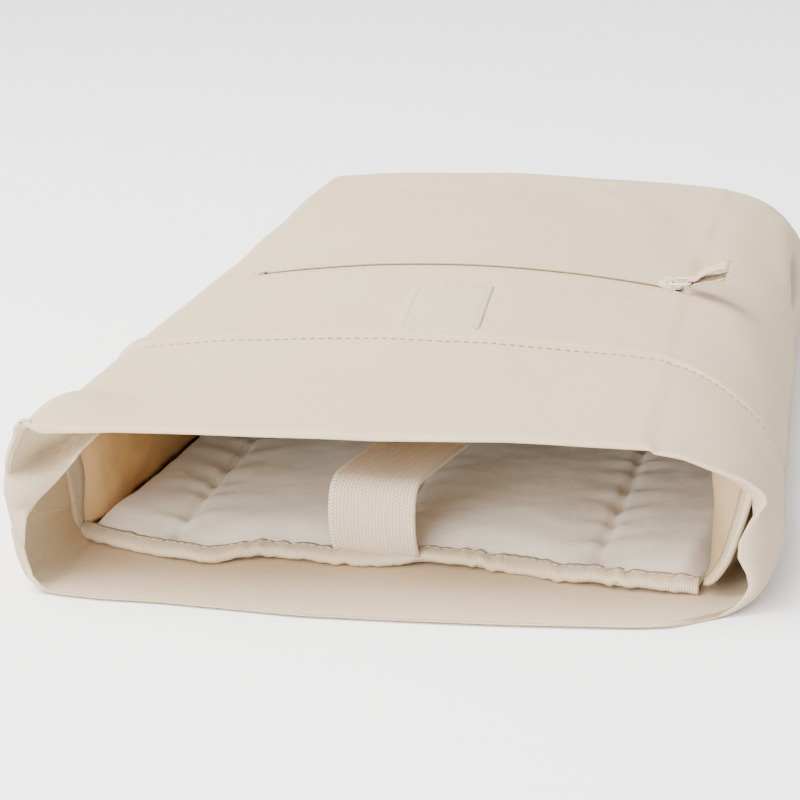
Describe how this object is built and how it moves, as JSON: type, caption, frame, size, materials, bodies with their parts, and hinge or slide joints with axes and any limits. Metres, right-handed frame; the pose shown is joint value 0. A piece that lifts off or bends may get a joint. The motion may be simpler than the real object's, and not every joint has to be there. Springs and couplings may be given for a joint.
{
  "type": "laptop sleeve bag",
  "caption": "Soft canvas laptop sleeve bag with an open mouth, a padded compartment with a webbing retaining strap, and a zipped front pocket.",
  "frame": {"origin": "centre of the footprint, on the floor that the back panel lies on", "axes": "+X across the bag, +Y from the mouth to the closed end, +Z from the back panel up to the front panel"},
  "size_m": [0.3125, 0.468, 0.078],
  "materials": {
    "canvas": "plain-weave natural cotton canvas, matte",
    "label_cloth": "fine undyed cotton cloth, matte",
    "zip_tape": "woven zip tape, matte",
    "zip_coil": "moulded nylon coil, satin",
    "slider_paint": "cream enamel on cast zinc, satin",
    "pocket_lining": "thin cotton lining, matte",
    "foam": "closed-cell foam sheet, matte",
    "binding_tape": "ribbed grosgrain tape, matte",
    "webbing": "herringbone cotton webbing, matte",
    "hook_and_loop": "hook-and-loop tape, matte",
    "nylon_lining": "smooth woven nylon, faint sheen"
  },
  "bodies": {
    "bag": {"back_panel": "canvas", "base_panel": "canvas", "divider_binding": "binding_tape", "divider_foam": "foam", "divider_lining_lower": "nylon_lining", "divider_lining_upper": "nylon_lining", "divider_loop_patch": "hook_and_loop", "front_panel": "canvas", "front_seam_lap": "canvas", "label_patch": "label_cloth", "left_gusset": "canvas", "mouth_band_back": "canvas", "mouth_band_left": "canvas", "mouth_band_right": "canvas", "pad_binding": "binding_tape", "pad_foam": "foam", "pad_lining_lower": "nylon_lining", "pad_lining_upper": "nylon_lining", "pocket_bag_inner": "pocket_lining", "pocket_bag_outer": "pocket_lining", "right_gusset": "canvas", "sleeve_wall_end": "nylon_lining", "sleeve_wall_left": "nylon_lining", "sleeve_wall_right": "nylon_lining", "strap": "webbing", "wall_binding_left": "binding_tape", "wall_binding_right": "binding_tape", "zip_coil_far": "zip_coil", "zip_coil_near": "zip_coil", "zip_end_tacks": "zip_coil", "zip_tape_far": "zip_tape", "zip_tape_near": "zip_tape"},
    "mouth_front": {"mouth_band_front": "canvas"},
    "zip_slider": {"zip_slider": "slider_paint"},
    "zip_ring": {"zip_pull_ring": "slider_paint"},
    "zip_tab": {"zip_pull_tab": "canvas"},
    "strap_end": {"strap_free_end": "webbing", "strap_hook_patch": "hook_and_loop"}
  },
  "joints": [
    {"name": "mouth_press", "type": "hinge", "parent": "bag", "child": "mouth_front", "pos_m": [0, -0.096, 0.061], "axis": [1, 0, 0], "range_deg": [0, 12], "stiffness_Nm_per_rad": 0.4, "springref_deg": -8.59},
    {"name": "zip_travel", "type": "hinge", "parent": "bag", "child": "zip_slider", "pos_m": [-0.0325, 0.029, -0.5105], "axis": [0, 1, 0], "range_deg": [-17.4, 0]},
    {"name": "ring_flip", "type": "hinge", "parent": "zip_slider", "child": "zip_ring", "pos_m": [0.08296, 0.029, 0.06901], "axis": [0, 1, 0], "range_deg": [-150, 0]},
    {"name": "tab_flip", "type": "hinge", "parent": "zip_ring", "child": "zip_tab", "pos_m": [0.09196, 0.029, 0.06913], "axis": [0, -1, 0], "range_deg": [-25, 90]},
    {"name": "strap_peel", "type": "hinge", "parent": "bag", "child": "strap_end", "pos_m": [-0.00293, -0.12207, 0.0388], "axis": [0.9816, -0.1908, 0], "range_deg": [0, 15]}
  ]
}
